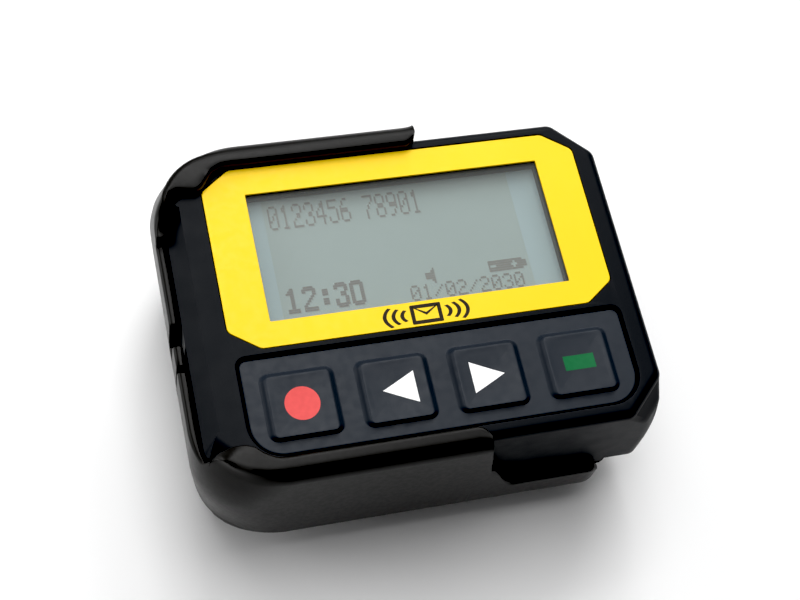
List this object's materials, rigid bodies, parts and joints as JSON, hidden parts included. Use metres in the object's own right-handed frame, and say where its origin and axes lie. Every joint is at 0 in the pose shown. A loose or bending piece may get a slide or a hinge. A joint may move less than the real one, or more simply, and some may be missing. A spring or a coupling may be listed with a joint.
{
  "type": "pager",
  "caption": "Alphanumeric pager with a grey LCD, yellow label and rubber keys, in a slide-in black belt holster with a sprung belt clip.",
  "frame": {"origin": "bottom centre of the whole object's bounding box, on the surface it lies on, face up", "axes": "+X along the display, the way the pager slides out of the holster; +Y up the display; +Z out of the pager's face"},
  "size_m": [0.0742, 0.0576, 0.0327],
  "materials": {
    "holster_black": "satin black moulded plastic",
    "case_black": "fine-textured blue-black plastic",
    "label_yellow": "yellow printed overlay",
    "lens_clear": "clear display window",
    "display_grey": "grey-green reflective LCD",
    "keypad_grey": "matt grey silicone",
    "board_green": "glass-epoxy circuit board",
    "steel": "plated steel",
    "brass": "bare metal",
    "white_plastic": "white plastic",
    "black_part": "black electronic parts",
    "grey_rubber": "zebra strip",
    "cell_sleeve": "plain sleeve of an AAA cell"
  },
  "bodies": {
    "holster": {"holster_shell": "holster_black", "clip_bracket": "holster_black", "bracket_screw_1": "steel", "bracket_screw_2": "steel", "clip_pin": "steel", "clip_spring": "steel"},
    "belt_clip": {"belt_clip": "holster_black"},
    "pager": {"front_housing": "case_black", "rear_housing": "case_black", "front_label": "label_yellow", "display_lens": "lens_clear", "keypad_sheet": "keypad_grey", "lcd_glass": "display_grey", "lcd_holder": "white_plastic", "backlight_guide": "white_plastic", "lcd_connector_upper": "grey_rubber", "lcd_connector_lower": "grey_rubber", "main_board": "board_green", "board_screw_1": "steel", "board_screw_2": "steel", "dome_switch_1": "steel", "dome_switch_2": "steel", "dome_switch_3": "steel", "dome_switch_4": "steel", "radio_shield": "steel", "processor": "black_part", "crystal": "steel", "loop_antenna": "brass", "vibration_motor": "steel", "motor_clip": "steel", "buzzer": "black_part", "battery_aaa": "cell_sleeve", "battery_spring": "steel", "battery_plate": "steel", "case_screw_1": "steel", "case_screw_2": "steel", "case_screw_3": "steel", "case_screw_4": "steel"},
    "key_cancel": {"key_cancel": "keypad_grey"},
    "key_left": {"key_left": "keypad_grey"},
    "key_right": {"key_right": "keypad_grey"},
    "key_ok": {"key_ok": "keypad_grey"},
    "battery_door": {"battery_door": "case_black"},
    "battery_door_latch": {"battery_door_latch": "case_black"},
    "vibration_weight": {"vibration_weight": "brass"}
  },
  "joints": [
    {"name": "pager_slide", "type": "slide", "parent": "holster", "child": "pager", "axis": [1, 0, 0], "range_m": [0, 0.066]},
    {"name": "clip_hinge", "type": "hinge", "parent": "holster", "child": "belt_clip", "pos_m": [0.00005, 0.015, 0.00345], "axis": [1, 0, 0], "range_deg": [0, 18], "stiffness_Nm_per_rad": 0.4, "springref_deg": -8.59, "deforming": ["clip_spring"]},
    {"name": "key_cancel_press", "type": "slide", "parent": "pager", "child": "key_cancel", "axis": [0, 0, -1], "range_m": [0, 0.0008], "stiffness_N_per_m": 1500},
    {"name": "key_left_press", "type": "slide", "parent": "pager", "child": "key_left", "axis": [0, 0, -1], "range_m": [0, 0.0008], "stiffness_N_per_m": 1500},
    {"name": "key_right_press", "type": "slide", "parent": "pager", "child": "key_right", "axis": [0, 0, -1], "range_m": [0, 0.0008], "stiffness_N_per_m": 1500},
    {"name": "key_ok_press", "type": "slide", "parent": "pager", "child": "key_ok", "axis": [0, 0, -1], "range_m": [0, 0.0008], "stiffness_N_per_m": 1500},
    {"name": "battery_door_slide", "type": "slide", "parent": "pager", "child": "battery_door", "axis": [1, 0, 0], "range_m": [0, 0.062]},
    {"name": "battery_door_latch_slide", "type": "slide", "parent": "battery_door", "child": "battery_door_latch", "axis": [1, 0, 0], "range_m": [0, 0.0009]},
    {"name": "vibration_spin", "type": "hinge", "parent": "pager", "child": "vibration_weight", "pos_m": [0.02925, 0.0085, 0.0164], "axis": [1, 0, 0], "continuous": true}
  ]
}
